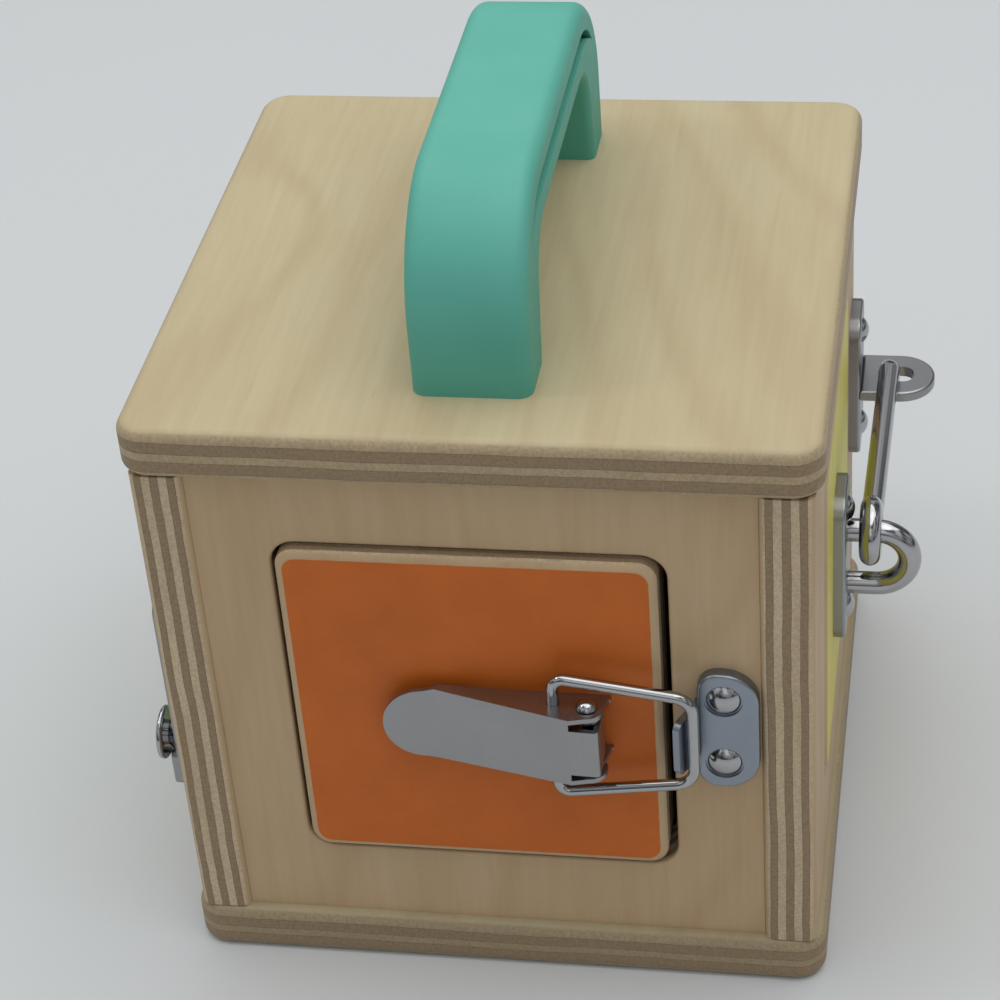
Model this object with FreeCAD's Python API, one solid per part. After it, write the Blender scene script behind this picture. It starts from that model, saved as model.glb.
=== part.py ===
import FreeCAD
import Part
import math
import os

# Wooden busy board: a plywood box with a carrying handle and four doors, each held shut by another
# kind of latch. Millimetres, +Z up, +X to the right, the front faces -Y. The origin is the middle of
# the underside.
#
# Hardware is drawn on one upright wall and then turned to its own. On that wall "across" runs to the
# right as seen from outside, "out" is the distance in front of the wall's face, and height is +Z.

Vector = FreeCAD.Vector
ORIGIN = Vector(0, 0, 0)
ACROSS = Vector(1, 0, 0)
OUT = Vector(0, -1, 0)
UP = Vector(0, 0, 1)

# Box
box_width = 152.0
box_depth = 154.0
box_height = 152.0
board_thickness = 12.5
board_corner = 7.0
board_edge = 2.8
wall_thickness = 12.0
side_overhang = 2.0
front_overhang = 1.1
panel_inset = 1.85
post_edge = 2.4

# Cut-outs and doors, the same in all four walls
cutout_sill = 20.4
cutout_head = 17.4
cutout_hinge_stile = 16.95
cutout_latch_stile = 19.75
cutout_corner = 6.0
cutout_edge = 0.6
hinge_gap = 1.2
latch_gap = 2.0
top_gap = 0.9
bottom_gap = 2.0
door_thickness = 12.0
front_door_proud = 2.5
side_door_proud = 0.5
door_edge = 1.8
door_pin_radius = 1.5
door_pin_inset = 9.0
door_pin_depth = 3.0
door_pin_grip = 10.0
door_pin_cover = 3.0

# Joinery
dowel_radius = 3.0
dowel_in_board = 8.0
dowel_in_wall = 15.0
dowel_spacing = 104.0

# Handle
handle_length = 120.0
handle_height = 44.8
handle_width = 26.4
handle_shoulder = 28.8
handle_foot = 16.0
handle_waist = 5.0
handle_grip = 16.8
handle_inner_bend = 12.0
handle_edge = 3.4
handle_inner_edge = 2.0
handle_band = 6.3
handle_groove = 4.4
handle_groove_depth = 9.5
handle_groove_run = 4.3
screw_radius = 2.0
screw_head_radius = 4.0
screw_head_height = 2.4
screw_in_handle = 16.0

# Fits, and how far a cut runs past the face that it opens
running_clearance = 0.06
loose_clearance = 0.3
cut_past = 1.0

# Domed rivets
rivet_shank = 1.5
rivet_in_wood = 8.5
rivet_head_rise = 1.7

# Toggle latch on the front door
latch_height = 77.5
latch_sheet = 1.2
latch_base_length = 33.1
latch_base_tail = 4.6
latch_base_slot = 9.6
latch_base_width = 15.6
latch_rivet_spacing = 14.0
latch_rivet_head = 2.6
pivot_inset = 17.75
pivot_out = 9.0
pivot_radius = 1.5
pivot_head = 2.4
pivot_head_rise = 1.7
ear_radius = 3.0
ear_foot = 4.6
lever_reach = 46.7
lever_tip_rise = -1.9
lever_bend = 34.5
lever_bend_rise = -2.8
lever_crest = 3.5
lever_crest_rise = 4.9
lever_end = 3.1
lever_end_rise = 5.2
lever_end_drop = 9.0
lever_end_width = 12.6
lever_crest_width = 18.6
lever_shoulder_width = 20.0
lever_tip_radius = 9.4
lever_ear = 4.0
lever_flange_tip = 2.0
bail_lever_arm = 7.5
bail_drop = 1.0
bail_wire = 1.35
bail_reach = 30.6
bail_root_width = 33.0
bail_end_width = 24.0
bail_corner = 4.6
bail_curl = 2.6
strike_height = 32.2
strike_drop = 1.3
strike_thickness = 2.9
strike_right_corner = 8.0
strike_left_corner = 4.6
strike_rivet_across = 5.8
strike_rivet_spacing = 17.8
strike_rivet_head = 3.9
strike_dish = 0.4
strike_dish_depth = 0.5
tongue_width = 14.5
tongue_sheet = 1.6
tongue_lean = 24.0
tongue_corner = 2.0
tongue_rise = 7.4

# Plates that carry the side latches
plate_width = 18.0
plate_height = 40.5
plate_thickness = 2.9
plate_corner = 5.0
plate_edge = 0.7
plate_rivet_head = 3.4

# Gate hook on the right door
catch_inset = 20.25
catch_rise = 1.8
staple_rod = 2.8
staple_height = 15.5
staple_out = 20.8
eye_rod = 2.6
eye_out = 8.8
hook_bar = 2.6
hook_length = 74.7
hook_fall = 2.05
hook_spread = 1.2
hook_bend = 3.8
hook_tail = 6.3
hook_taper = 1.5
hook_tip = 1.8
tab_thickness = 2.9
tab_rise = 1.0
tab_reach = 18.6
tab_tang = 1.2
slot_side = 0.8
slot_inner = 0.4
slot_outer = 3.5

# Swing latch on the frame beside the left door
swing_inset = 14.75
swing_plate_sheet = 2.0
swing_gap = 0.3
swing_boss = 5.0
swing_boss_rise = 0.9
swing_sheet = 1.8
swing_width = 10.0
swing_upper = 16.0
swing_lower = 37.5
swing_tang = 5.0
swing_tang_width = 3.6
swing_tang_rise = 4.8
swing_pin = 2.0
swing_pin_head = 3.6
swing_pin_rise = 0.7
swing_pin_gap = 0.2
knob_drop = 27.0
knob_foot_radius = 5.4
knob_foot_rise = 2.3
knob_neck_radius = 3.0
knob_neck_rise = 0.7
knob_disc_radius = 6.6
knob_disc_rise = 1.4

# Slide bolt on the back door
bolt_radius = 3.0
bolt_travel = 16.0
bolt_axis_rise = 5.6
bolt_plate_length = 38.0
bolt_plate_width = 30.0
bolt_plate_sheet = 1.6
bolt_edge_margin = 2.5
bolt_guide_length = 6.0
bolt_guide_wall = 1.9
bolt_rivet_inset = 4.0
bolt_rivet_head = 2.6
bolt_retraction = 1.5
bolt_tail = 2.5
bolt_knob_radius = 4.0
bolt_knob_stem = 2.0
bolt_knob_rise = 13.0
bolt_knob_gap = 1.0
keeper_door_gap = 1.75
keeper_post_gap = 3.0
keeper_slack = 0.6

# Derived places
side_face = box_width / 2 - side_overhang
post_end = box_depth / 2 - front_overhang
panel_face = post_end - panel_inset
panel_half = side_face - wall_thickness
wall_low = board_thickness
wall_high = box_height - board_thickness
cutout_low = wall_low + cutout_sill
cutout_high = wall_high - cutout_head
cutout_left = cutout_hinge_stile - panel_half
cutout_right = panel_half - cutout_latch_stile
door_left = cutout_left + hinge_gap
door_right = cutout_right - latch_gap
door_low = cutout_low + bottom_gap
door_high = cutout_high - top_gap
door_corner = cutout_corner - (latch_gap + top_gap) / 2
door_pin_across = door_left + door_pin_inset
keeper_left = cutout_right + keeper_door_gap
keeper_right = panel_half - keeper_post_gap
keeper_across = (keeper_left + keeper_right) / 2
pivot_across = cutout_right - pivot_inset
latch_base_right = pivot_across + latch_base_tail
latch_base_left = latch_base_right - latch_base_length
tongue_angle = math.radians(tongue_lean)
bail_start = pivot_across - bail_lever_arm
bail_level = pivot_out - bail_drop
bail_end = bail_start + bail_reach
tongue_retreat = (bail_level - strike_thickness) * math.tan(tongue_angle)
strike_left = bail_end + tongue_retreat - (bail_wire + loose_clearance) / math.cos(tongue_angle)
strike_right = panel_half - loose_clearance
strike_level = latch_height - strike_drop
catch_plate_across = cutout_right + catch_inset
hook_plate_across = catch_plate_across - hook_length
swing_across = cutout_right + swing_inset
plate_rivet_spacing = staple_height + 2 * (staple_rod + plate_rivet_head + loose_clearance)
hook_place = (hook_plate_across, latch_height)
catch_place = (catch_plate_across, latch_height + catch_rise)
swing_place = (swing_across, latch_height)
tab_top = catch_place[1] + tab_rise

# Walls: the turn about +Z that carries the drawn wall to its place, the distance of its face, and how
# far its door stands out of that face
FRONT = (0, panel_face, front_door_proud)
RIGHT = (90, side_face, side_door_proud)
BACK = (180, panel_face, front_door_proud)
LEFT = (270, side_face, side_door_proud)


def point(across, out, height):
    """A point of the drawn wall."""
    return Vector(across, -out, height)


def on_wall(shape, wall):
    """Moves what is drawn on the upright wall to its own wall."""
    turn, face, _ = wall
    placed = shape.copy()
    placed.translate(OUT * face)
    placed.rotate(ORIGIN, UP, turn)
    return placed


def fused(shapes):
    whole = shapes[0]
    if len(shapes) > 1:
        whole = whole.fuse(shapes[1:])
    return whole.removeSplitter()


def block(across, out, height):
    """A box between two limits along each direction of the drawn wall."""
    size = (across[1] - across[0], out[1] - out[0], height[1] - height[0])
    return Part.makeBox(*size, point(across[0], out[1], height[0]))


def rod(start, direction, radius, length):
    return Part.makeCylinder(radius, length, start, direction)


def rounded_prism(across, out, height, corner):
    """A box whose four edges along "out" are rounded."""
    body = block(across, out, height)
    edges = [e for e in body.Edges if e.BoundBox.YLength > 0.5 * (out[1] - out[0])]
    return body.makeFillet(corner, edges)


def edges_at(shape, axis, value):
    """The edges that lie wholly in one plane square to an axis."""
    low, high = {"X": ("XMin", "XMax"), "Y": ("YMin", "YMax"), "Z": ("ZMin", "ZMax")}[axis]
    tiny = 0.001
    return [
        e
        for e in shape.Edges
        if abs(getattr(e.BoundBox, low) - value) < tiny and abs(getattr(e.BoundBox, high) - value) < tiny
    ]


def outline_face(steps):
    """A face from straight steps and arcs: a step is a point, or a middle point and an end point."""
    edges = []
    here = steps[0]
    for step in steps[1:] + [steps[0]]:
        if isinstance(step, tuple):
            edges.append(Part.Arc(here, step[0], step[1]).toShape())
            here = step[1]
        else:
            edges.append(Part.LineSegment(here, step).toShape())
            here = step
    return Part.Face(Part.Wire(edges))


def bent_rod(points, bend, radius):
    """A round rod along straight runs that are joined by arcs of one bend radius."""
    edges = []
    here = points[0]
    for before, corner, after in zip(points, points[1:], points[2:]):
        come = (corner - before).normalize()
        go = (after - corner).normalize()
        half = come.getAngle(go) / 2
        leg = bend * math.tan(half)
        start = corner - come * leg
        end = corner + go * leg
        inward = (go - come).normalize()
        middle = corner + inward * (bend / math.cos(half) - bend)
        edges.append(Part.LineSegment(here, start).toShape())
        edges.append(Part.Arc(start, middle, end).toShape())
        here = end
    edges.append(Part.LineSegment(here, points[-1]).toShape())
    profile = Part.Wire(Part.Circle(points[0], points[1] - points[0], radius).toShape())
    return Part.Wire(edges).makePipeShell([profile], True, True)


def dome(centre, radius, rise):
    """A low round rivet head that stands out of a face."""
    sphere = (radius**2 + rise**2) / (2 * rise)
    ball = Part.makeSphere(sphere, centre - OUT * (sphere - rise))
    return ball.common(rod(centre, OUT, radius, rise))


def rivets(places, seat, depth, head_radius, rise=rivet_head_rise):
    """Domed rivets: each stands on the seat and runs back to the given depth."""
    return [
        fused([
            dome(point(across, seat, height), head_radius, rise),
            rod(point(across, depth, height), OUT, rivet_shank, seat - depth),
        ])
        for across, height in places
    ]


def rivet_holes(places, seat, depth):
    return [rod(point(across, depth, height), OUT, rivet_shank, seat - depth) for across, height in places]


def board(low):
    """The lid or the base: a plywood board with rounded corners and edges."""
    body = Part.makeBox(box_width, box_depth, board_thickness, Vector(-box_width / 2, -box_depth / 2, low))
    upright = [e for e in body.Edges if e.BoundBox.ZLength > board_thickness / 2]
    body = body.makeFillet(board_corner, upright)
    rims = edges_at(body, "Z", low) + edges_at(body, "Z", low + board_thickness)
    return body.makeFillet(board_edge, rims)


def dowels(low, high):
    """Upright dowels between one board and the four walls, two to a wall."""
    out = -wall_thickness / 2
    pegs = []
    for wall in (FRONT, RIGHT, BACK, LEFT):
        for across in (-dowel_spacing / 2, dowel_spacing / 2):
            peg = rod(point(across, out, low), UP, dowel_radius, high - low)
            pegs.append(on_wall(peg, wall))
    return pegs


def lid_dowels():
    return dowels(wall_high - dowel_in_wall, wall_high + dowel_in_board)


def base_dowels():
    return dowels(wall_low - dowel_in_board, wall_low + dowel_in_wall)


def door_pins():
    """The two steel pins that a door turns on, held in the wall above and below it."""
    low = point(door_pin_across, -door_pin_depth, wall_low + door_pin_cover)
    high = point(door_pin_across, -door_pin_depth, door_high - door_pin_grip)
    return [
        rod(low, UP, door_pin_radius, door_low + door_pin_grip - low.z),
        rod(high, UP, door_pin_radius, wall_high - door_pin_cover - high.z),
    ]


def wall_with_cutout(half_width, holes):
    """A wall on the drawn place, with its door's cut-out, pin holes and rivet holes."""
    body = block((-half_width, half_width), (-wall_thickness, 0), (wall_low, wall_high))
    hole = rounded_prism(
        (cutout_left, cutout_right), (-wall_thickness - cut_past, cut_past), (cutout_low, cutout_high),
        cutout_corner,
    )
    body = body.cut(hole)
    rim = [
        e
        for e in edges_at(body, "Y", 0)
        if abs(e.BoundBox.Center.x) < half_width - cut_past
        and e.BoundBox.ZMin > wall_low + cut_past
        and e.BoundBox.ZMax < wall_high - cut_past
    ]
    body = body.makeFillet(cutout_edge, rim)
    return body.cut(door_pins() + holes)


def side_wall(holes):
    """A side wall runs the full depth, and its end grain shows as a rounded post."""
    body = wall_with_cutout(post_end, holes)
    ends = [
        e
        for e in body.Edges
        if e.BoundBox.ZLength > 0.9 * (wall_high - wall_low)
        and abs(abs(e.BoundBox.Center.x) - post_end) < 0.001
    ]
    return body.makeFillet(post_edge, ends)


def door(front, holes):
    """A door: a rounded board on two pins, with its front edge eased."""
    body = rounded_prism(
        (door_left, door_right), (front - door_thickness, front), (door_low, door_high), door_corner
    )
    body = body.makeFillet(door_edge, edges_at(body, "Y", -front))
    length = door_pin_grip + running_clearance
    bores = [
        rod(
            point(door_pin_across, -door_pin_depth, height), UP,
            door_pin_radius + running_clearance, length,
        )
        for height in (door_low, door_high - length)
    ]
    return body.cut(bores + holes)


def arch(half, top, radius, width):
    """A round-shouldered arch on the lid, as a solid across the handle's width."""
    floor = box_height
    crown = box_height + top
    slant = radius * math.sqrt(0.5)
    steps = [
        Vector(-width / 2, -half, floor),
        Vector(-width / 2, -half, crown - radius),
        (
            Vector(-width / 2, -half + radius - slant, crown - radius + slant),
            Vector(-width / 2, -half + radius, crown),
        ),
        Vector(-width / 2, half - radius, crown),
        (
            Vector(-width / 2, half - radius + slant, crown - radius + slant),
            Vector(-width / 2, half, crown - radius),
        ),
        Vector(-width / 2, half, floor),
    ]
    return outline_face(steps).extrude(ACROSS * width)


def finger_space():
    """The space under the grip, narrower at its top than between the feet."""
    foot = handle_length / 2 - handle_foot
    top = box_height + handle_height - handle_grip
    width = handle_width + 2 * cut_past
    corners = [
        Vector(-width / 2, -foot, box_height - cut_past),
        Vector(-width / 2, handle_waist - foot, top),
        Vector(-width / 2, foot - handle_waist, top),
        Vector(-width / 2, foot, box_height - cut_past),
    ]
    body = outline_face(corners).extrude(ACROSS * width)
    bends = [e for e in body.Edges if e.BoundBox.XLength > width / 2 and e.BoundBox.ZMin > top - cut_past]
    return body.makeFillet(handle_inner_bend, bends)


def grip_groove():
    """The long recess in each side of the grip, between an outer and an inner band."""
    inset = handle_shoulder - handle_band
    outer = arch(handle_length / 2 - handle_band, handle_height - handle_band, inset, handle_width)
    inner = arch(
        handle_length / 2 - handle_band + handle_groove_run, handle_height - handle_band - handle_groove,
        inset, handle_width,
    )
    groove = outer.cut(inner)
    web = handle_width / 2 - handle_groove_depth
    middle = Part.makeBox(
        2 * web, handle_length, handle_height, Vector(-web, -handle_length / 2, box_height)
    )
    return groove.cut(middle)


def handle():
    """The moulded carrying handle: an arch with rounded sides and a grooved grip."""
    body = arch(handle_length / 2, handle_height, handle_shoulder, handle_width)
    sides = [
        e
        for e in body.Edges
        if e.BoundBox.XLength < 0.001
        and not (e.BoundBox.ZLength < 0.001 and e.BoundBox.ZMin < box_height + cut_past)
    ]
    body = body.makeFillet(handle_edge, sides)
    body = body.cut(finger_space())
    inner = [
        e
        for e in body.Edges
        if e.BoundBox.XLength < 0.001
        and abs(abs(e.BoundBox.Center.x) - handle_width / 2) < 0.001
        and e.BoundBox.ZMax < box_height + handle_height - handle_grip + 0.001
        and e.BoundBox.ZMax > box_height + cut_past
        and abs(e.BoundBox.Center.y) < handle_length / 2 - handle_foot + handle_waist
    ]
    body = body.makeFillet(handle_inner_edge, inner)
    body = body.cut(grip_groove())
    return body.cut([screw_shank(y) for y in screw_places()])


def screw_places():
    reach = (handle_length - handle_foot) / 2
    return (-reach, reach)


def screw_shank(y):
    return rod(Vector(0, y, wall_high), UP, screw_radius, board_thickness + screw_in_handle)


def handle_screws():
    """Pan-head screws that come up through the lid into the handle's feet."""
    screws = []
    for y in screw_places():
        head = Part.makeCylinder(
            screw_head_radius, screw_head_height, Vector(0, y, wall_high - screw_head_height)
        )
        under = edges_at(head, "Z", wall_high - screw_head_height)
        head = head.makeFillet(screw_head_height / 3, under)
        screws.append(fused([head, screw_shank(y)]))
    return screws


def base_plate_rivets():
    """The rivets of the toggle latch's base, under the lever."""
    first = latch_base_left + (pivot_across - ear_foot - latch_base_left - latch_rivet_spacing) / 2
    return [(first, latch_height), (first + latch_rivet_spacing, latch_height)]


def latch_base():
    """Sheet base: its edges are turned up into two ears, and its right end is slotted for the lever."""
    half = latch_base_width / 2
    back = front_door_proud
    heights = (latch_height - half, latch_height + half)
    sheet = (back, back + latch_sheet)
    plate = rounded_prism((latch_base_left, latch_base_right), sheet, heights, latch_sheet)
    ears = []
    for low in (heights[0], heights[1] - latch_sheet):
        web = outline_face([
            point(pivot_across - ear_foot, back, low),
            point(pivot_across - ear_radius, pivot_out, low),
            point(pivot_across + ear_radius, pivot_out, low),
            point(pivot_across + ear_foot, back, low),
        ])
        ears.append(web.extrude(UP * latch_sheet))
        ears.append(rod(point(pivot_across, pivot_out, low), UP, ear_radius, latch_sheet))
    bore = rod(
        point(pivot_across, pivot_out, heights[0] - cut_past), UP, pivot_radius,
        latch_base_width + 2 * cut_past,
    )
    slot = block(
        (latch_base_right - latch_base_slot, latch_base_right + cut_past),
        (back - cut_past, back + latch_sheet + cut_past),
        (heights[0] + latch_sheet, heights[1] - latch_sheet),
    )
    holes = rivet_holes(base_plate_rivets(), back + latch_sheet, back - cut_past)
    return fused([plate] + ears).cut([bore, slot] + holes)


def lever_point(along, rise, height):
    """A point of the lever, measured from its pivot."""
    return point(pivot_across + along, pivot_out + rise, latch_height + height)


def lever_plan(inset):
    """The lever's plan as a tall solid: sides that taper to the pivot, a shoulder and a round tip."""
    low = -lever_ear - cut_past
    crest = lever_crest_width / 2 - inset
    wide = lever_shoulder_width / 2 - inset
    tip = lever_tip_radius - inset
    neck = lever_tip_radius - lever_reach
    face = outline_face([
        lever_point(lever_ear + cut_past, low, -crest),
        lever_point(-lever_crest, low, -crest),
        lever_point(-lever_bend, low, -wide),
        lever_point(neck, low, -tip),
        (lever_point(neck - tip, low, 0), lever_point(neck, low, tip)),
        lever_point(-lever_bend, low, wide),
        lever_point(-lever_crest, low, crest),
        lever_point(lever_ear + cut_past, low, crest),
    ])
    return face.extrude(OUT * (lever_end_rise + lever_ear + 2 * cut_past))


def across_lever(profile, width):
    """A side profile, drawn in the lever's middle plane, as a solid of the given width."""
    body = outline_face(profile).extrude(UP * width)
    body.translate(UP * (-width / 2))
    return body


def lever_cover():
    """The lever's cover: a flat tip, then a slope that rises towards the pivot."""
    line = [
        (-lever_reach - cut_past, lever_tip_rise),
        (-lever_bend, lever_bend_rise),
        (-lever_crest, lever_crest_rise),
    ]
    outer = [lever_point(along, rise, 0) for along, rise in line]
    inner = [lever_point(along, rise - latch_sheet, 0) for along, rise in reversed(line)]
    slab = across_lever(outer + inner, 2 * lever_shoulder_width)
    return slab.common(lever_plan(0))


def lever_flanges():
    """The two side flanges, which deepen to round ears about the pivot."""
    width = 2 * lever_shoulder_width
    sides = across_lever([
        lever_point(-lever_bend, lever_bend_rise, 0),
        lever_point(-lever_crest, lever_crest_rise, 0),
        lever_point(0, lever_ear, 0),
        lever_point(0, -lever_ear, 0),
        lever_point(-lever_bend, lever_bend_rise - lever_flange_tip, 0),
    ], width)
    ears = rod(lever_point(0, 0, -width / 2), UP, lever_ear, width)
    return fused([sides, ears]).common(lever_plan(0)).cut(lever_plan(latch_sheet))


def lever_tongue():
    """The narrow end of the cover, folded down behind the pivot."""
    fold = across_lever([
        lever_point(-lever_crest - latch_sheet, lever_crest_rise - latch_sheet, 0),
        lever_point(-lever_crest, lever_crest_rise, 0),
        lever_point(lever_end, lever_end_rise, 0),
        lever_point(lever_end, lever_end_rise - lever_end_drop, 0),
        lever_point(lever_end - latch_sheet, lever_end_rise - lever_end_drop, 0),
        lever_point(lever_end - latch_sheet, lever_end_rise - latch_sheet, 0),
        lever_point(-lever_crest, lever_crest_rise - latch_sheet, 0),
    ], lever_end_width)
    crease = [
        e
        for e in edges_at(fold, "X", pivot_across + lever_end)
        if e.BoundBox.ZLength > latch_sheet and e.BoundBox.YMin < -pivot_out - lever_end_rise + 0.001
    ]
    return fold.makeFillet(latch_sheet * 0.9, crease)


def lever_bores():
    """The bores for the pivot pin and for the bail's two ends."""
    half = lever_shoulder_width
    pivot = rod(lever_point(0, 0, -half), UP, pivot_radius + running_clearance, 2 * half)
    bail = rod(
        lever_point(-bail_lever_arm, -bail_drop, -half), UP, bail_wire + running_clearance, 2 * half
    )
    return [pivot, bail]


def latch_lever():
    """The toggle lever: a folded sheet, open underneath, with a round finger tip."""
    return fused([lever_cover(), lever_flanges(), lever_tongue()]).cut(lever_bores())


def lever_pivot_pin():
    """The rivet that the lever turns on, with a domed head outside each flange."""
    half = lever_crest_width / 2 + loose_clearance
    pieces = [rod(lever_point(0, 0, -half), UP, pivot_radius, 2 * half)]
    sphere = (pivot_head**2 + pivot_head_rise**2) / (2 * pivot_head_rise)
    for side in (-1, 1):
        away = UP * side
        ball = Part.makeSphere(sphere, lever_point(0, 0, side * half) - away * (sphere - pivot_head_rise))
        head = rod(lever_point(0, 0, side * half), away, pivot_head, pivot_head_rise)
        pieces.append(ball.common(head))
    return fused(pieces)


def latch_bail():
    """The wire loop that pulls on the strike: two ends in the lever, arms that close in, an end bar."""
    seat = lever_point(-bail_lever_arm, -bail_drop, 0)
    inner = UP * (lever_crest_width / 2 - latch_sheet)
    root = UP * (bail_root_width / 2)
    end = ACROSS * bail_reach + UP * (bail_end_width / 2)
    middle = (root + end) * 0.5
    below = ACROSS * bail_reach - UP * (bail_end_width / 2)
    middle_below = (below - root) * 0.5
    upper = bent_rod([seat + inner, seat + root, seat + middle], bail_curl, bail_wire)
    lower = bent_rod([seat - inner, seat - root, seat + middle_below], bail_curl, bail_wire)
    loop = bent_rod([seat + middle, seat + end, seat + below, seat + middle_below], bail_corner, bail_wire)
    return fused([upper, loop, lower])


def strike_rivets():
    half = strike_rivet_spacing / 2
    across = strike_left + strike_rivet_across
    return [(across, strike_level - half), (across, strike_level + half)]


def strike_tongue():
    """The leaning tongue that the bail's end bar is pulled against."""
    half = tongue_width / 2
    length = tongue_rise / math.cos(tongue_angle)
    body = block(
        (strike_left - tongue_sheet, strike_left), (strike_thickness / 2, strike_thickness + length),
        (strike_level - half, strike_level + half),
    )
    top = edges_at(body, "Y", -strike_thickness - length)
    tip = [e for e in top if e.BoundBox.XLength > tongue_sheet / 2]
    body = body.makeFillet(tongue_corner, tip)
    body.rotate(point(strike_left, strike_thickness, strike_level), UP, -tongue_lean)
    return body


def strike_plate():
    """The catch on the front frame: a dished plate with a leaning tongue."""
    left = strike_left
    right = strike_right
    low = strike_level - strike_height / 2
    high = strike_level + strike_height / 2
    body = block((left, right), (0, strike_thickness), (low, high))
    for place, corner in ((left, strike_left_corner), (right, strike_right_corner)):
        edges = [
            e
            for e in body.Edges
            if e.BoundBox.YLength > strike_thickness / 2 and abs(e.BoundBox.Center.x - place) < 0.001
        ]
        body = body.makeFillet(corner, edges)
    body = body.makeFillet(plate_edge, edges_at(body, "Y", -strike_thickness))
    bed = strike_thickness - strike_dish_depth
    dishes = [
        rod(point(across, bed, height), OUT, strike_rivet_head + strike_dish, strike_dish_depth + cut_past)
        for across, height in strike_rivets()
    ]
    holes = rivet_holes(strike_rivets(), bed, -cut_past)
    foot = block(
        (left - tongue_sheet / 2, left + tongue_sheet), (0, strike_thickness * 0.8),
        (strike_level - tongue_width / 2, strike_level + tongue_width / 2),
    )
    return fused([body, foot, strike_tongue()]).cut(dishes + holes)


def latch_plate(place, seat, thickness=plate_thickness):
    """A rounded plate with two rivet holes that carries a side latch."""
    across, height = place
    body = rounded_prism(
        (across - plate_width / 2, across + plate_width / 2), (seat, seat + thickness),
        (height - plate_height / 2, height + plate_height / 2), plate_corner,
    )
    body = body.makeFillet(plate_edge, edges_at(body, "Y", -seat - thickness))
    return body.cut(rivet_holes(plate_rivets(place), seat + thickness, seat - cut_past))


def plate_rivets(place):
    across, height = place
    half = plate_rivet_spacing / 2
    return [(across, height - half), (across, height + half)]


def staple_ring():
    """The round staple on the door that the gate hook hangs from."""
    half = staple_height / 2
    apex = staple_out - staple_rod
    across = hook_plate_across
    return bent_rod(
        [
            point(across, side_door_proud, latch_height + half),
            point(across, apex, latch_height + half),
            point(across, apex, latch_height - half),
            point(across, side_door_proud, latch_height - half),
        ],
        half * 0.99, staple_rod,
    )


def hook_plate():
    """The door's plate, with two holes for the staple's legs."""
    half = staple_height / 2
    legs = [
        rod(
            point(hook_plate_across, side_door_proud - cut_past, height), OUT, staple_rod,
            plate_thickness + 2 * cut_past,
        )
        for height in (latch_height - half, latch_height + half)
    ]
    return latch_plate(hook_place, side_door_proud).cut(legs)


def hook_tail_place():
    """Where the hook's tail stands over the catch: across, out."""
    return hook_plate_across + hook_length, eye_out + hook_spread


def gate_hook():
    """The hook: an eye round the staple, a long bar and a tail that drops through the catch."""
    height = latch_height + staple_height / 2
    ring = staple_rod + loose_clearance + eye_rod
    centre = point(hook_plate_across, eye_out, height)
    eye = Part.makeTorus(ring, eye_rod, centre, OUT)
    across, out = hook_tail_place()
    elbow = point(across, out, height - hook_fall)
    start = centre + ACROSS * (ring + eye_rod * 0.2)
    tip = elbow - UP * hook_tail
    bar = bent_rod([start, elbow, tip + UP * hook_taper], hook_bend, hook_bar)
    tail = Part.makeCone(hook_tip, hook_bar, hook_taper, tip, UP)
    tail = tail.makeFillet(hook_tip * 0.6, edges_at(tail, "Z", tip.z))
    return fused([eye, bar, tail])


def tab_slot_and_body():
    """The catch's level tab, and the slot through it that the hook's tail drops into."""
    half = plate_width / 2
    top = tab_top
    low = top - tab_thickness
    reach = plate_thickness + tab_reach
    across, out = hook_tail_place()
    tab = block((catch_plate_across - half, catch_plate_across + half), (plate_thickness, reach), (low, top))
    round_end = [
        e for e in tab.Edges
        if e.BoundBox.ZLength > tab_thickness / 2 and e.BoundBox.YMin < -reach + 0.001
    ]
    tab = tab.makeFillet(half * 0.98, round_end)
    tab = tab.makeFillet(plate_edge, edges_at(tab, "Z", top) + edges_at(tab, "Z", low))
    side = hook_bar + slot_side
    slot = block(
        (across - side, across + side), (out - hook_bar - slot_inner, out + hook_bar + slot_outer),
        (low - cut_past, top + cut_past),
    )
    upright = [e for e in slot.Edges if e.BoundBox.ZLength > tab_thickness]
    return tab, slot.makeFillet(side * 0.8, upright)


def tab_tang_piece():
    """The tab's tang, which is riveted over in the plate."""
    half = plate_width / 2 - plate_corner
    top = tab_top - tab_tang / 2
    return block(
        (catch_plate_across - half, catch_plate_across + half), (0, plate_thickness + tab_tang),
        (top - tab_thickness + tab_tang, top),
    )


def catch_tab():
    """The level tab that holds the hook, with its slot and its tang."""
    tab, slot = tab_slot_and_body()
    return fused([tab, tab_tang_piece()]).cut(slot)


def catch_plate():
    """The frame's plate, with the hole for the tab's tang."""
    return latch_plate(catch_place, 0).cut(tab_tang_piece())


def swing_levels():
    """The back and front of the swing arm, out from the wall."""
    back = swing_plate_sheet + swing_boss_rise + swing_gap
    return back, back + swing_sheet


def swing_plate():
    """The frame's plate, with a low boss that the swing arm turns on."""
    rise = swing_plate_sheet + swing_boss_rise
    boss = rod(point(swing_across, 0, latch_height), OUT, swing_boss, rise)
    bore = rod(point(swing_across, -cut_past, latch_height), OUT, swing_pin, rise + 2 * cut_past)
    return fused([latch_plate(swing_place, 0, swing_plate_sheet), boss]).cut(bore)


def swing_pin_piece():
    """The pivot: a shank through plate and arm, and a low head."""
    seat = swing_levels()[1] + swing_pin_gap
    head = dome(point(swing_across, seat, latch_height), swing_pin_head, swing_pin_rise)
    return fused([head, rod(point(swing_across, 0, latch_height), OUT, swing_pin, seat)])


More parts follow.
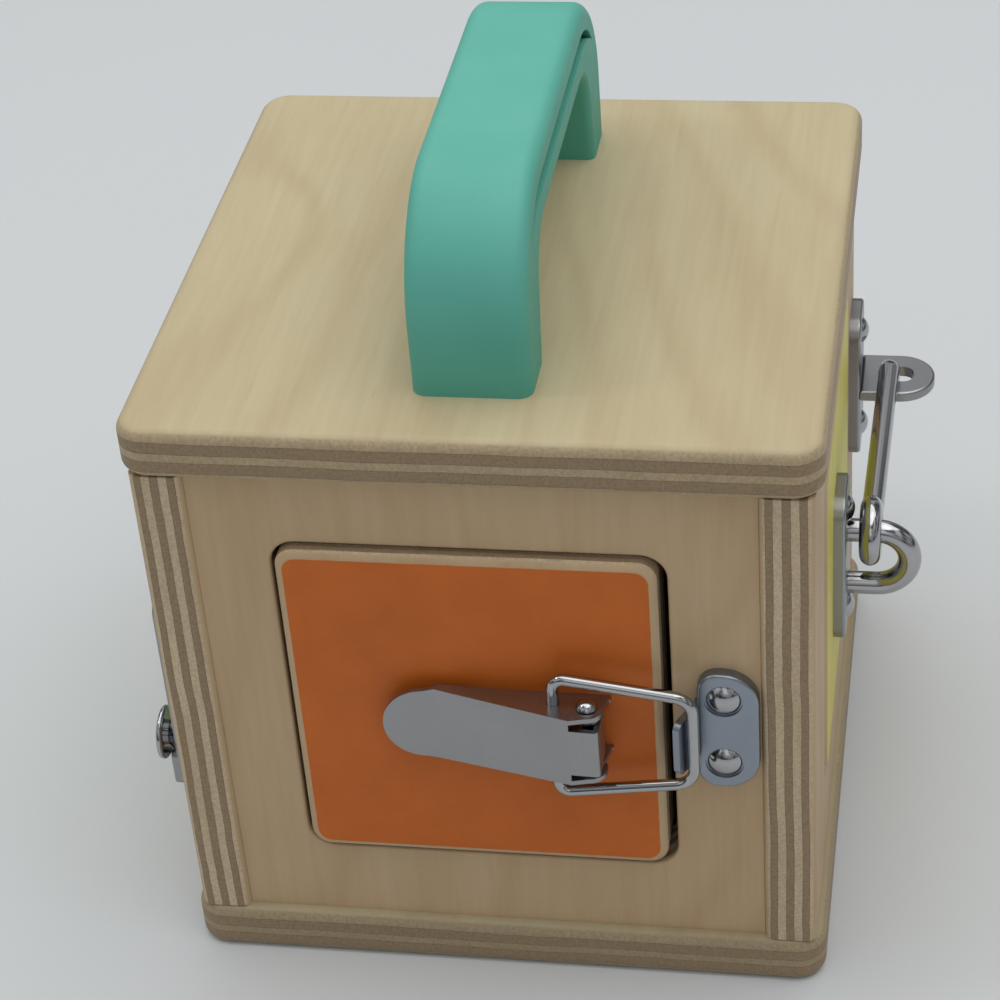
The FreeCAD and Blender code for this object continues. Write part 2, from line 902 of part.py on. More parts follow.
def swing_arm():
    """The arm, hanging down as in the photograph, with round ends and a turned-out tang."""
    back, front = swing_levels()
    half = swing_width / 2
    across = (swing_across - half, swing_across + half)
    low = latch_height - swing_lower
    high = latch_height + swing_upper
    bar = rounded_prism(across, (back, front), (low, high), half * 0.9)
    tang = rounded_prism(
        (swing_across - swing_tang_width / 2, swing_across + swing_tang_width / 2),
        (back, back + swing_tang_rise), (low - swing_tang, low + half), swing_tang_width * 0.45,
    )
    tip = edges_at(tang, "Y", -back - swing_tang_rise)
    tang = tang.makeFillet(plate_edge, tip)
    through = swing_sheet + 2 * cut_past
    centre = point(swing_across, back - cut_past, latch_height)
    bore = rod(centre, OUT, swing_pin + running_clearance, through)
    peg = rod(knob_place(back - cut_past), OUT, knob_neck_radius / 2, through)
    return fused([bar, tang]).cut([bore, peg])


def knob_place(out):
    return point(swing_across, out, latch_height - knob_drop)


def swing_knob():
    """The finger knob: a sloped foot, a narrow neck and an outer disc, on a riveted peg."""
    back, front = swing_levels()
    neck = front + knob_foot_rise
    disc = neck + knob_neck_rise
    foot = Part.makeCone(knob_foot_radius, knob_neck_radius, knob_foot_rise, knob_place(front), OUT)
    pieces = [
        foot,
        rod(knob_place(neck), OUT, knob_neck_radius, knob_neck_rise),
        rod(knob_place(back), OUT, knob_neck_radius / 2, swing_sheet),
    ]
    cap = rod(knob_place(disc), OUT, knob_disc_radius, knob_disc_rise)
    rims = edges_at(cap, "Y", -disc) + edges_at(cap, "Y", -disc - knob_disc_rise)
    return fused(pieces + [cap.makeFillet(knob_disc_rise * 0.45, rims)])


def bolt_level():
    """The bolt's axis, out from the wall."""
    return front_door_proud + bolt_plate_sheet + bolt_axis_rise


def bolt_guide(start, back):
    """A bridge over the bolt: a round-topped block with a bore along it."""
    level = bolt_level()
    outer = bolt_radius + bolt_guide_wall
    across = (start, start + bolt_guide_length)
    body = fused([
        block(across, (back, level), (latch_height - outer, latch_height + outer)),
        rod(point(start, level, latch_height), ACROSS, outer, bolt_guide_length),
    ])
    bore = rod(
        point(start - cut_past, level, latch_height), ACROSS,
        bolt_radius + running_clearance, bolt_guide_length + 2 * cut_past,
    )
    return body.cut(bore)


def bolt_plate_span():
    right = door_right - bolt_edge_margin
    return right - bolt_plate_length, right


def bolt_rivets():
    left, right = bolt_plate_span()
    rise = bolt_plate_width / 2 - bolt_rivet_inset
    return [
        (across, latch_height + side * rise)
        for across in (left + bolt_rivet_inset, right - bolt_rivet_inset)
        for side in (-1, 1)
    ]


def bolt_plate():
    """The door's bolt plate with its two guides."""
    left, right = bolt_plate_span()
    half = bolt_plate_width / 2
    back = front_door_proud
    seat = back + bolt_plate_sheet
    plate = rounded_prism(
        (left, right), (back, seat), (latch_height - half, latch_height + half), bolt_rivet_inset * 0.8
    )
    guides = [
        bolt_guide(start, back + bolt_plate_sheet / 2)
        for start in (left, right - bolt_guide_length)
    ]
    return fused([plate] + guides).cut(rivet_holes(bolt_rivets(), seat, back - cut_past))


def bolt_rod():
    """The sliding bolt, drawn back as at rest, with its rounded nose."""
    left, right = bolt_plate_span()
    start = left - bolt_tail
    length = door_right - bolt_retraction - start
    body = rod(point(start, bolt_level(), latch_height), ACROSS, bolt_radius, length)
    body = body.makeFillet(bolt_radius * 0.6, edges_at(body, "X", start + length))
    return body.cut(rod(bolt_knob_place(), OUT, bolt_knob_stem, bolt_knob_rise))


def bolt_knob_place():
    left, right = bolt_plate_span()
    across = left + bolt_guide_length + bolt_knob_radius + bolt_knob_gap
    return point(across, bolt_level(), latch_height)


def bolt_knob():
    """The knob that slides the bolt: a stem and a round grip."""
    foot = bolt_knob_place()
    grip = Part.makeSphere(bolt_knob_radius, foot + OUT * (bolt_knob_rise - bolt_knob_radius))
    return fused([rod(foot, OUT, bolt_knob_stem, bolt_knob_rise - bolt_knob_radius), grip])


def keeper_rivets():
    rise = bolt_plate_width / 2 - bolt_rivet_inset
    return [(keeper_across, latch_height - rise), (keeper_across, latch_height + rise)]


def bolt_keeper():
    """The frame's keeper: a plate with a square-shouldered strap that the bolt slides under."""
    half = bolt_plate_width / 2
    plate = rounded_prism(
        (keeper_left, keeper_right), (0, bolt_plate_sheet),
        (latch_height - half, latch_height + half), bolt_rivet_inset * 0.8,
    )
    across = (keeper_across - bolt_guide_length / 2, keeper_across + bolt_guide_length / 2)
    room = bolt_radius + keeper_slack
    outer = room + bolt_guide_wall
    top = bolt_level() + room
    strap = block(
        across, (bolt_plate_sheet / 2, top + bolt_guide_wall), (latch_height - outer, latch_height + outer)
    )
    crown = edges_at(strap, "Y", -top - bolt_guide_wall)
    shoulders = [e for e in crown if e.BoundBox.XLength > bolt_guide_wall]
    strap = strap.makeFillet(bolt_guide_wall, shoulders)
    under = block(
        (across[0] - cut_past, across[1] + cut_past), (bolt_plate_sheet, top),
        (latch_height - room, latch_height + room),
    )
    return fused([plate, strap]).cut([under] + rivet_holes(keeper_rivets(), bolt_plate_sheet, -cut_past))


def save(name, shapes):
    """Writes one node: a solid, or a group of like solids."""
    solids = [s for shape in shapes for s in shape.Solids]
    whole = solids[0] if len(solids) == 1 else Part.makeCompound(solids)
    whole.exportStep(os.path.join("parts", name + ".step"))


def build_box():
    pegs = lid_dowels() + base_dowels()
    save("base_board", [board(0).cut(pegs)])
    save("lid_board", [board(wall_high).cut(pegs + [screw_shank(y) for y in screw_places()])])
    deep = -rivet_in_wood
    walls = (
        ("front_panel", FRONT, rivet_holes(strike_rivets(), strike_thickness, deep)),
        ("right_wall", RIGHT, rivet_holes(plate_rivets(catch_place), plate_thickness, deep)),
        ("back_panel", BACK, rivet_holes(keeper_rivets(), bolt_plate_sheet, deep)),
        ("left_wall", LEFT, rivet_holes(plate_rivets(swing_place), swing_plate_sheet, deep)),
    )
    for name, wall, holes in walls:
        drawn = wall_with_cutout(panel_half, holes) if wall in (FRONT, BACK) else side_wall(holes)
        save(name, [on_wall(drawn, wall).cut(pegs)])
    save("lid_dowels", lid_dowels())
    save("base_dowels", base_dowels())
    save("handle", [handle()])
    save("handle_screws", handle_screws())


def build_doors():
    doors = (
        ("front", FRONT, base_plate_rivets()),
        ("right", RIGHT, plate_rivets(hook_place)),
        ("back", BACK, bolt_rivets()),
        ("left", LEFT, []),
    )
    for name, wall, places in doors:
        front = wall[2]
        holes = rivet_holes(places, front + cut_past, front - rivet_in_wood)
        save(name + "_door", [on_wall(door(front, holes), wall)])
        save(name + "_door_pins", [on_wall(pin, wall) for pin in door_pins()])


def build_toggle_latch():
    seat = front_door_proud + latch_sheet
    deep = front_door_proud - rivet_in_wood
    pieces = (
        ("latch_base", [latch_base()]),
        ("latch_base_rivets", rivets(base_plate_rivets(), seat, deep, latch_rivet_head)),
        ("latch_lever", [latch_lever()]),
        ("lever_pivot_pin", [lever_pivot_pin()]),
        ("latch_bail", [latch_bail()]),
        ("strike_plate", [strike_plate()]),
        (
            "strike_rivets",
            rivets(strike_rivets(), strike_thickness - strike_dish_depth, -rivet_in_wood, strike_rivet_head),
        ),
    )
    for name, shapes in pieces:
        save(name, [on_wall(shape, FRONT) for shape in shapes])


def build_gate_hook():
    near = plate_rivets(hook_place)
    far = plate_rivets(catch_place)
    on_door = side_door_proud + plate_thickness
    pieces = (
        ("hook_plate", [hook_plate()]),
        ("hook_plate_rivets", rivets(near, on_door, side_door_proud - rivet_in_wood, plate_rivet_head)),
        ("staple_ring", [staple_ring()]),
        ("gate_hook", [gate_hook()]),
        ("catch_plate", [catch_plate()]),
        ("catch_tab", [catch_tab()]),
        ("catch_plate_rivets", rivets(far, plate_thickness, -rivet_in_wood, plate_rivet_head)),
    )
    for name, shapes in pieces:
        save(name, [on_wall(shape, RIGHT) for shape in shapes])


def build_swing_latch():
    places = plate_rivets(swing_place)
    pieces = (
        ("swing_plate", [swing_plate()]),
        (
            "swing_plate_rivets",
            rivets(places, swing_plate_sheet, -rivet_in_wood, plate_rivet_head, swing_boss_rise),
        ),
        ("swing_pin", [swing_pin_piece()]),
        ("swing_arm", [swing_arm()]),
        ("swing_knob", [swing_knob()]),
    )
    for name, shapes in pieces:
        save(name, [on_wall(shape, LEFT) for shape in shapes])


def build_slide_bolt():
    seat = front_door_proud + bolt_plate_sheet
    deep = front_door_proud - rivet_in_wood
    pieces = (
        ("bolt_plate", [bolt_plate()]),
        ("bolt_plate_rivets", rivets(bolt_rivets(), seat, deep, bolt_rivet_head)),
        ("bolt_rod", [bolt_rod()]),
        ("bolt_knob", [bolt_knob()]),
        ("bolt_keeper", [bolt_keeper()]),
        ("bolt_keeper_rivets", rivets(keeper_rivets(), bolt_plate_sheet, -rivet_in_wood, bolt_rivet_head)),
    )
    for name, shapes in pieces:
        save(name, [on_wall(shape, BACK) for shape in shapes])


def main():
    os.makedirs("parts", exist_ok=True)
    build_box()
    build_doors()
    build_toggle_latch()
    build_gate_hook()
    build_swing_latch()
    build_slide_bolt()


main()
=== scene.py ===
import math

import bpy
from mathutils import Matrix, Vector


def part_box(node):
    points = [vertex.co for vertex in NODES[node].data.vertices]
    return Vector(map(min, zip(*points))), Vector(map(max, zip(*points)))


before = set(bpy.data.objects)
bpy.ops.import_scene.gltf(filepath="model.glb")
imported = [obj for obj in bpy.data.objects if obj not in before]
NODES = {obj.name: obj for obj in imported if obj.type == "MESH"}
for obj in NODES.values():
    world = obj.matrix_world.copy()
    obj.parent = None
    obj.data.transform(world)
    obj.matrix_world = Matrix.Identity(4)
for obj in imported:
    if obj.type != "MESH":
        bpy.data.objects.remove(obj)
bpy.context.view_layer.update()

MM = 0.001

# Camera: where the photograph was taken from, in metres and degrees. The lens, the
# sensor and the nearest thing drawn are in the units that Blender gives a camera.
CAMERA_PLACE = Vector((0.1051, -0.5425, 0.48))
CAMERA_TURN = 11.79
CAMERA_TILT = 90 - 35.74
CAMERA_ROLL = -4.83
CAMERA_LENS = 100.12
CAMERA_SENSOR = 36.0
CAMERA_NEAR = 0.01

# Lights: name, place, point aimed at and size in metres, and power in watts
LIGHTS = (
    ("sky_panel", (0.10, 0.15, 1.5), (0, 0, 0.1), (2.2, 1.8), 18.5),
    ("window", (-0.9, -0.2, 1.1), (0, 0, 0.08), (0.14, 0.2), 1.1),
    ("front_fill", (0.5, -1.4, 0.9), (0, 0, 0.1), (0.9, 0.6), 0.5),
)

# The room round the box: its tone at the horizon and overhead, how high the overhead
# tone starts, and its dark and bright parts, which polished metal mirrors
ROOM_HORIZON = (0.21, 0.215, 0.22)
ROOM_OVERHEAD = (0.62, 0.64, 0.66)
ROOM_OVERHEAD_FROM = 0.7
ROOM_STRENGTH = 0.70
ROOM_PATCH_SCALE = 2.6
ROOM_PATCH_EDGES = (0.42, 0.58)
ROOM_PATCH_TONES = (0.30, 1.65)

# Colours, linear
WHITE = (1.0, 1.0, 1.0)
BIRCH = (0.575, 0.49, 0.305)
BIRCH_FIGURE = (0.48, 0.365, 0.21)
WALL_BIRCH = (0.59, 0.43, 0.26)
WALL_FIGURE = (0.50, 0.335, 0.18)
BOARD_PLY = (0.52, 0.41, 0.255)
WALL_PLY = (0.68, 0.55, 0.37)
PLY_DARK = (0.35, 0.25, 0.15)
GLUE = (0.17, 0.10, 0.055)
WORN_EDGE = (0.55, 0.5, 0.45)
STREAK_SHADE = (0.80, 0.76, 0.70)
FLECK = (0.42, 0.30, 0.19)
BEECH = (0.50, 0.34, 0.20)
TEAL = (0.098, 0.42, 0.325)
TEAL_LIGHT = (0.128, 0.47, 0.375)
ORANGE = (0.605, 0.141, 0.015)
YELLOW = (0.70, 0.62, 0.10)
BLUE = (0.10, 0.27, 0.50)
GREEN = (0.20, 0.42, 0.12)
SATIN = (0.37, 0.37, 0.38)
POLISHED = (0.46, 0.46, 0.47)
ZINC = (0.31, 0.345, 0.40)
STEEL = (0.35, 0.35, 0.36)
FLOOR = (0.67, 0.69, 0.695)

# How far the floor runs from the middle, in metres
FLOOR_REACH = 4.0

# A noise texture keeps mostly between these two values
NOISE_LOW, NOISE_HIGH = 0.3, 0.7

# Plywood: the thickness of each layer, in shares, and of the glue between two layers
BOARD_PLIES = (2.0, 2.8, 2.1, 2.8, 2.8)
WALL_PLIES = (1.5, 1.6, 2.0, 1.8, 2.0, 1.6, 1.5)
GLUE_LINE = 0.10 * MM

# The face veneer is drawn in full down to the first depth, and ends at the second
VENEER_FULL = 0.55 * MM
VENEER_END = 0.95 * MM

# Marks in the wood: features per metre
LAYER_WAVES, EDGE_STAINS, SPECKLES = 45, 120, 1400
STREAKS, FLECKS, RINGS, CLOUDS = 420, 1100, 9, 16

# Marks in the wood: how strongly each shows, from 0 to 1
STAIN_SHARE, WEAR_SHARE, RING_SHARE = 0.30, 0.45, 0.36
CLOUD_SHARE, STREAK_SHARE, FLECK_SHARE = 0.30, 0.35, 0.35

# How many rings one swirl breaks into, and how many more for each step of the seed
RING_COUNT, RING_STEP = 46.0, 3

WOOD_ROUGH = (0.58, 0.44)
WOOD_RELIEF = 0.06 * MM

# The three tones of each plywood: face, its figure, and the pale layers of its edge
LID_TONES = (BIRCH, BIRCH_FIGURE, BOARD_PLY)
# The base board: the lid's tones darkened to 0.82, as painted shade on its shaded edges
BASE_SHADED_TONES = tuple(tuple(0.82 * c for c in tone) for tone in LID_TONES)
WALL_TONES = (WALL_BIRCH, WALL_FIGURE, WALL_PLY)

# The painted field on a door: the bare rim round it, its corner radius, how far its
# edge wanders and fades, where it starts and ends below the face, and its film
FIELD_RIM = 1.75 * MM
FIELD_CORNER = 3.4 * MM
FIELD_WANDER = 0.12 * MM
FIELD_FADE = 0.08 * MM
FIELD_FROM, FIELD_TO = 0.35 * MM, 0.15 * MM
FIELD_FILM = 0.12 * MM
FIELD_ROUGH = 0.45

# Directions of a brushed metal's grain
BRUSHED = (1, 1, 0.05)
ROLLED = (1, 1, 0.1)
EVEN = (1, 1, 1)

# Lid and base: a seed for the figure of the wood, and the tones, the base's darkened as painted
# shade
BOARDS = (("lid_board", 0.0, LID_TONES), ("base_board", 1.0, BASE_SHADED_TONES))
# Walls: the axis through the thickness, and the seed
WALLS = (
    ("front_panel", "Y", 2.0), ("back_panel", "Y", 1.5),
    ("left_wall", "X", 0.5), ("right_wall", "X", 2.5),
)

# Doors: the axis through the thickness, which way is out, the paint, and the seed
DOORS = (
    ("front_door", "Y", -1, ORANGE, 1.2), ("right_door", "X", 1, YELLOW, 0.8),
    ("back_door", "Y", 1, BLUE, 1.8), ("left_door", "X", -1, GREEN, 0.3),
)

FLAT_METAL = (
    "latch_base", "latch_lever", "hook_plate", "catch_plate", "catch_tab",
    "swing_plate", "swing_arm", "bolt_plate", "bolt_keeper",
)
ROUND_METAL = (
    "latch_base_rivets", "lever_pivot_pin", "latch_bail", "strike_rivets",
    "hook_plate_rivets", "staple_ring", "gate_hook", "catch_plate_rivets",
    "swing_plate_rivets", "swing_pin", "swing_knob",
    "bolt_plate_rivets", "bolt_rod", "bolt_knob", "bolt_keeper_rivets",
)
PLAIN_METAL = (
    "handle_screws", "front_door_pins", "right_door_pins", "back_door_pins", "left_door_pins",
)


def shade(color, factor):
    """A colour made darker or lighter, and never past white."""
    return tuple(min(1.0, factor * c) for c in color)


class Graph:
    """A short way to write a node tree: each method adds a node and returns its output."""

    def __init__(self, tree, coordinates):
        self.tree = tree
        self.place = self.new("ShaderNodeTexCoord").outputs[coordinates]

    def new(self, kind, **settings):
        node = self.tree.nodes.new(kind)
        for key, value in settings.items():
            setattr(node, key, value)
        return node

    def put(self, socket, value):
        """Give a socket another node's output, a colour or a number."""
        if hasattr(value, "is_output"):
            self.tree.links.new(value, socket)
        elif isinstance(value, tuple):
            socket.default_value = (*value, 1)
        else:
            socket.default_value = value

    def math(self, operation, first, second=0.0):
        node = self.new("ShaderNodeMath", operation=operation)
        self.put(node.inputs[0], first)
        self.put(node.inputs[1], second)
        return node.outputs[0]

    def mix(self, share, first, second, blend="MIX"):
        """Two colours mixed; 6 and 7 are the colour sockets of the mix node."""
        node = self.new("ShaderNodeMix", data_type="RGBA", blend_type=blend)
        self.put(node.inputs[0], share)
        self.put(node.inputs[6], first)
        self.put(node.inputs[7], second)
        return node.outputs[2]

    def axes(self):
        node = self.new("ShaderNodeSeparateXYZ")
        self.put(node.inputs[0], self.place)
        return node.outputs

    def noise(self, scale, detail=3.0, rough=0.5, distortion=0.0, stretch=EVEN):
        mapping = self.new("ShaderNodeMapping")
        self.put(mapping.inputs["Vector"], self.place)
        mapping.inputs["Scale"].default_value = stretch
        node = self.new("ShaderNodeTexNoise")
        self.put(node.inputs["Vector"], mapping.outputs[0])
        node.inputs["Scale"].default_value = scale
        node.inputs["Detail"].default_value = detail
        node.inputs["Roughness"].default_value = rough
        node.inputs["Distortion"].default_value = distortion
        return node.outputs[0]

    def span(self, value, low, high, to_low=0.0, to_high=1.0):
        """A value moved from one range to another, and kept inside it."""
        node = self.new("ShaderNodeMapRange")
        for socket, number in zip(node.inputs, (value, low, high, to_low, to_high)):
            self.put(socket, number)
        return node.outputs[0]

    def contrast(self, noise, to_low=0.0, to_high=1.0):
        """A noise drawn out to the whole of a range."""
        return self.span(noise, NOISE_LOW, NOISE_HIGH, to_low, to_high)

    def ramp(self, value, stops):
        """The colours at their places from 0 to 1, blended between."""
        node = self.new("ShaderNodeValToRGB")
        elements = node.color_ramp.elements
        while len(elements) < len(stops):
            elements.new(0.5)
        for element, (position, color) in zip(elements, stops):
            element.position = position
            element.color = (*color, 1)
        self.put(node.inputs[0], value)
        return node.outputs[0]

    def bump(self, height, depth, before=None):
        node = self.new("ShaderNodeBump")
        node.inputs["Strength"].default_value = 1.0
        node.inputs["Distance"].default_value = depth
        self.put(node.inputs["Height"], height)
        if before:
            self.put(node.inputs["Normal"], before)
        return node.outputs[0]


class Material(Graph):
    """One material, whose patterns lie in the part's own metres."""

    def __init__(self, name):
        self.material = bpy.data.materials.new(name)
        self.material.use_nodes = True
        super().__init__(self.material.node_tree, "Object")

    def finish(self, color, roughness, relief=None, metallic=0.0, specular=0.5):
        shader = self.tree.nodes["Principled BSDF"]
        self.put(shader.inputs["Base Color"], color)
        self.put(shader.inputs["Roughness"], roughness)
        if relief:
            self.put(shader.inputs["Normal"], relief)
        shader.inputs["Metallic"].default_value = metallic
        shader.inputs["Specular IOR Level"].default_value = specular
        return self.material


def along(grain, long):
    """Texture scales that draw a pattern out along the grain's axis."""
    return tuple(long if axis == grain else 1.0 for axis in "XYZ")


def ply_stops(thickness, plies, pale):
    """The colour of each layer by its depth, with a thin glue line between two layers."""
    glue = GLUE_LINE / thickness
    stops = []
    reach = 0.0
    for index, ply in enumerate(plies):
        start = reach / sum(plies)
        reach += ply
        end = reach / sum(plies)
        tone = PLY_DARK if index % 2 else pale
        if stops:
            stops.append((start, GLUE))
        stops.append((start + glue, tone))
        stops.append((end - glue, tone))
    return stops


def layered_edge(n, through, low, high, plies, grain, pale, speckle):
    """A cut edge: layers through the thickness, a little wavy, stained and worn."""
    waves = n.span(n.noise(LAYER_WAVES), 0.2, 0.8, -0.03, 0.03)
    depth = n.math("ADD", n.span(through, low, high), waves)
    edge = n.ramp(depth, ply_stops(high - low, plies, pale))
    stain = n.noise(EDGE_STAINS, rough=0.6, stretch=along(grain, 0.25))
    edge = n.mix(n.span(stain, 0.35, 0.7, 0.0, STAIN_SHARE), edge, PLY_DARK)
    worn = n.mix(n.span(speckle, 0.35, 0.65), WORN_EDGE, WHITE)
    return n.mix(WEAR_SHARE, edge, worn, "MULTIPLY")


def veneer(n, grain, seed, pale, figured, streak):
    """The face: broad wavy rings, clouds, fine streaks along the grain and a few flecks."""
    swirl = n.noise(RINGS + seed, detail=2.0, rough=0.45, distortion=0.6, stretch=along(grain, 0.35))
    waves = n.math("SINE", n.math("MULTIPLY", swirl, RING_COUNT + RING_STEP * seed))
    rings = n.math("POWER", n.span(waves, -1, 1), 3.0)
    face = n.mix(n.math("MULTIPLY", rings, RING_SHARE), pale, figured)
    cloud = n.noise(CLOUDS, distortion=0.3)
    face = n.mix(n.span(cloud, 0.35, 0.7, 0.0, CLOUD_SHARE), face, figured)
    fine = n.mix(n.contrast(streak), STREAK_SHADE, WHITE)
    face = n.mix(STREAK_SHARE, face, fine, "MULTIPLY")
    fleck = n.noise(FLECKS, detail=2.0, rough=0.6, stretch=along(grain, 0.10))
    return n.mix(n.span(fleck, 0.66, 0.80, 0.0, FLECK_SHARE), face, FLECK)


def fine_streaks(n, grain):
    return n.noise(STREAKS, rough=0.6, distortion=0.2, stretch=along(grain, 0.06))


def wood(n, node, axis, plies, grain, seed, tones):
    """Birch plywood: veneer on both faces and layers on every cut edge."""
    index = "XYZ".index(axis)
    low, high = (corner[index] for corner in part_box(node))
    through = n.axes()[index]
    pale, figured, ply = tones
    speckle = n.noise(SPECKLES, detail=2.0, rough=0.7)
    streak = fine_streaks(n, grain)
    edge = layered_edge(n, through, low, high, plies, grain, ply, speckle)
    face = veneer(n, grain, seed, pale, figured, streak)
    off_middle = n.math("ABSOLUTE", n.math("SUBTRACT", through, (low + high) / 2))
    below_face = n.math("SUBTRACT", (high - low) / 2, off_middle)
    on_face = n.span(below_face, VENEER_FULL, VENEER_END, 1.0, 0.0)
    height = n.math("ADD", n.math("MULTIPLY", streak, 0.6), n.math("MULTIPLY", speckle, 0.4))
    relief = n.bump(height, WOOD_RELIEF)
    return n.mix(on_face, edge, face), relief, n.contrast(streak, *WOOD_ROUGH)


def plywood(node, axis, plies, grain, seed, tones):
    n = Material(node + "_birch")
    color, relief, roughness = wood(n, node, axis, plies, grain, seed, tones)
    return n.finish(color, roughness, relief, specular=0.3)


def painted_field(n, node, axis, outward):
    """1 on the rounded field of a door's outer face, and 0 on its rim, edges and back."""
    low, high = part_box(node)
    index = "XYZ".index(axis)
    axes = n.axes()
    squares = []
    for i in (1 - index, 2):
        centre = (low[i] + high[i]) / 2
        half = (high[i] - low[i]) / 2 - FIELD_RIM - FIELD_CORNER
        away = n.math("ABSOLUTE", n.math("SUBTRACT", axes[i], centre))
        past = n.math("MAXIMUM", n.math("SUBTRACT", away, half), 0.0)
        squares.append(n.math("MULTIPLY", past, past))
    reach = n.math("SQRT", n.math("ADD", *squares))
    wander = n.span(n.noise(300, detail=2.0), 0, 1, -FIELD_WANDER, FIELD_WANDER)
    inside = n.span(
        n.math("ADD", reach, wander), FIELD_CORNER + FIELD_FADE, FIELD_CORNER - FIELD_FADE,
    )
    face = high[index] if outward > 0 else -low[index]
    forward = n.math("MULTIPLY", axes[index], float(outward))
    return n.math("MULTIPLY", inside, n.span(forward, face - FIELD_FROM, face - FIELD_TO))


def brushed_paint(n, paint):
    """Flat paint, a little mottled, with the grain just showing through."""
    mottle = n.contrast(n.noise(70, detail=4.0, rough=0.6))
    tint = n.mix(mottle, shade(paint, 0.93), shade(paint, 1.05))
    grain = n.span(fine_streaks(n, "Z"), 0.62, 0.75, 0.0, 0.10)
    return n.mix(grain, tint, shade(paint, 0.7))


def painted_door(node, axis, outward, paint, seed):
    """Plywood with a painted field on its outer face, inside a bare rounded rim."""
    n = Material(node + "_paint")
    color, relief, roughness = wood(n, node, axis, WALL_PLIES, "Z", seed, WALL_TONES)
    field = painted_field(n, node, axis, outward)
    color = n.mix(field, color, brushed_paint(n, paint))
    film = n.bump(n.math("MULTIPLY", field, 0.5), FIELD_FILM, relief)
    bare = n.math("MULTIPLY", roughness, n.math("SUBTRACT", 1.0, field))
    rough = n.math("ADD", bare, n.math("MULTIPLY", field, FIELD_ROUGH))
    return n.finish(color, rough, film, specular=0.3)


def plain_wood(name, color):
    """Turned beech, as in dowels: fine streaks along Z."""
    n = Material(name)
    streak = n.noise(300, rough=0.6, distortion=0.3, stretch=(1, 1, 0.08))
    tone = n.mix(n.contrast(streak), shade(color, 0.72), color)
    return n.finish(tone, 0.6, n.bump(streak, 0.05 * MM), specular=0.35)


def moulded_plastic(name):
    """Matt moulded plastic: very fine texture, slightly paler where hands rub it."""
    n = Material(name)
    rub = n.noise(160, detail=4.0, rough=0.65)
    tone = n.mix(n.span(n.noise(18), 0.35, 0.65), TEAL, TEAL_LIGHT)
    tone = n.mix(n.span(rub, 0.62, 0.8, 0.0, 0.25), tone, shade(TEAL_LIGHT, 1.12))
    relief = n.bump(n.noise(1600, detail=2.0, rough=0.6), 0.035 * MM)
    return n.finish(tone, n.contrast(rub, 0.50, 0.60), relief, specular=0.35)


def metal(name, color, rough, brush, relief):
    """Plated steel: a fine grain in its roughness, faint rubs and small dark specks."""
    n = Material(name)
    lines = n.noise(900, detail=2.0, rough=0.6, stretch=brush)
    rub = n.noise(45, detail=4.0, rough=0.6)
    speck = n.span(n.noise(700, detail=2.0), 0.72, 0.80, 0.0, 0.30)
    tone = n.mix(n.contrast(rub), shade(color, 0.90), color)
    tone = n.mix(speck, tone, shade(color, 0.55))
    roughness = n.math("ADD", n.contrast(rub, *rough), n.contrast(lines, -0.03, 0.03))
    return n.finish(tone, roughness, n.bump(lines, relief), metallic=1.0)


def paint_nodes(material, *names):
    for name in names:
        for slot in NODES[name].material_slots:
            slot.material = material


def dress_wood():
    for name, seed, tones in BOARDS:
        paint_nodes(plywood(name, "Z", BOARD_PLIES, "Y", seed, tones), name)
    for name, axis, seed in WALLS:
        paint_nodes(plywood(name, axis, WALL_PLIES, "Z", seed, WALL_TONES), name)
    for name, axis, outward, paint, seed in DOORS:
        paint_nodes(painted_door(name, axis, outward, paint, seed), name)
    paint_nodes(plain_wood("dowel_beech", BEECH), "base_dowels", "lid_dowels")


def dress_plastic_and_metal():
    paint_nodes(moulded_plastic("handle_plastic"), "handle")
    satin = metal("satin_nickel", SATIN, (0.30, 0.38), BRUSHED, 0.004 * MM)
    polished = metal("polished_nickel", POLISHED, (0.06, 0.13), EVEN, 0.002 * MM)
    zinc = metal("zinc_plate", ZINC, (0.28, 0.36), BRUSHED, 0.004 * MM)
    steel = metal("plain_steel", STEEL, (0.32, 0.42), ROLLED, 0.004 * MM)
    paint_nodes(satin, *FLAT_METAL)
    paint_nodes(polished, *ROUND_METAL)
    paint_nodes(zinc, "strike_plate")
    paint_nodes(steel, *PLAIN_METAL)


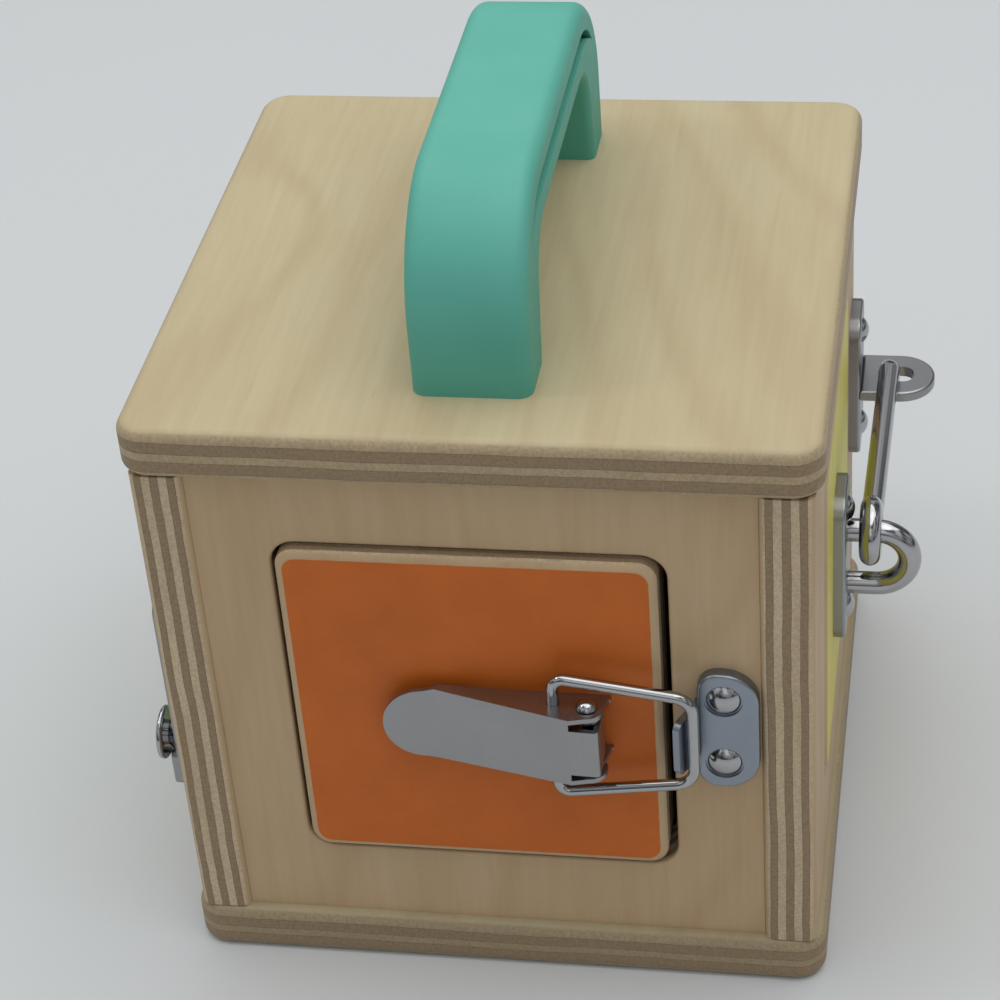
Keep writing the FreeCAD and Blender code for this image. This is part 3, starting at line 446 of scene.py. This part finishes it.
def area_light(name, place, aim, size, power):
    data = bpy.data.lights.new(name, "AREA")
    data.shape = "RECTANGLE"
    data.size, data.size_y = size
    data.energy = power
    light = bpy.data.objects.new(name, data)
    bpy.context.scene.collection.objects.link(light)
    light.location = place
    light.rotation_euler = (Vector(aim) - Vector(place)).to_track_quat("-Z", "Y").to_euler()


def floor():
    reach = FLOOR_REACH
    corners = [(-reach, -reach, 0), (reach, -reach, 0), (reach, reach, 0), (-reach, reach, 0)]
    mesh = bpy.data.meshes.new("floor")
    mesh.from_pydata(corners, [], [(0, 1, 2, 3)])
    plane = bpy.data.objects.new("floor", mesh)
    bpy.context.scene.collection.objects.link(plane)
    n = Material("floor_paper")
    tone = n.mix(n.contrast(n.noise(3, detail=2.0)), shade(FLOOR, 0.985), FLOOR)
    mesh.materials.append(n.finish(tone, 0.8, specular=0.2))


def room():
    """Light from all round: brighter overhead, in dark and bright parts."""
    scene = bpy.context.scene
    scene.world = bpy.data.worlds.new("room")
    scene.world.use_nodes = True
    n = Graph(scene.world.node_tree, "Generated")
    height = n.axes()[2]
    tone = n.ramp(height, [(0.0, ROOM_HORIZON), (ROOM_OVERHEAD_FROM, ROOM_OVERHEAD)])
    cloud = n.noise(ROOM_PATCH_SCALE, detail=1.0)
    patches = n.span(cloud, *ROOM_PATCH_EDGES, *ROOM_PATCH_TONES)
    background = n.tree.nodes["Background"]
    n.put(background.inputs["Color"], n.mix(1.0, tone, patches, "MULTIPLY"))
    background.inputs["Strength"].default_value = ROOM_STRENGTH


def camera():
    data = bpy.data.cameras.new("photo_camera")
    data.lens = CAMERA_LENS
    data.sensor_width = CAMERA_SENSOR
    data.clip_start = CAMERA_NEAR
    view = bpy.data.objects.new("photo_camera", data)
    bpy.context.scene.collection.objects.link(view)
    turn = Matrix.Rotation(math.radians(CAMERA_TURN), 4, "Z")
    tilt = Matrix.Rotation(math.radians(CAMERA_TILT), 4, "X")
    roll = Matrix.Rotation(math.radians(CAMERA_ROLL), 4, "Z")
    view.matrix_world = Matrix.Translation(CAMERA_PLACE) @ turn @ tilt @ roll
    bpy.context.scene.camera = view


dress_wood()
dress_plastic_and_metal()
floor()
room()
for light in LIGHTS:
    area_light(*light)
camera()
bpy.context.scene.view_settings.view_transform = "Standard"
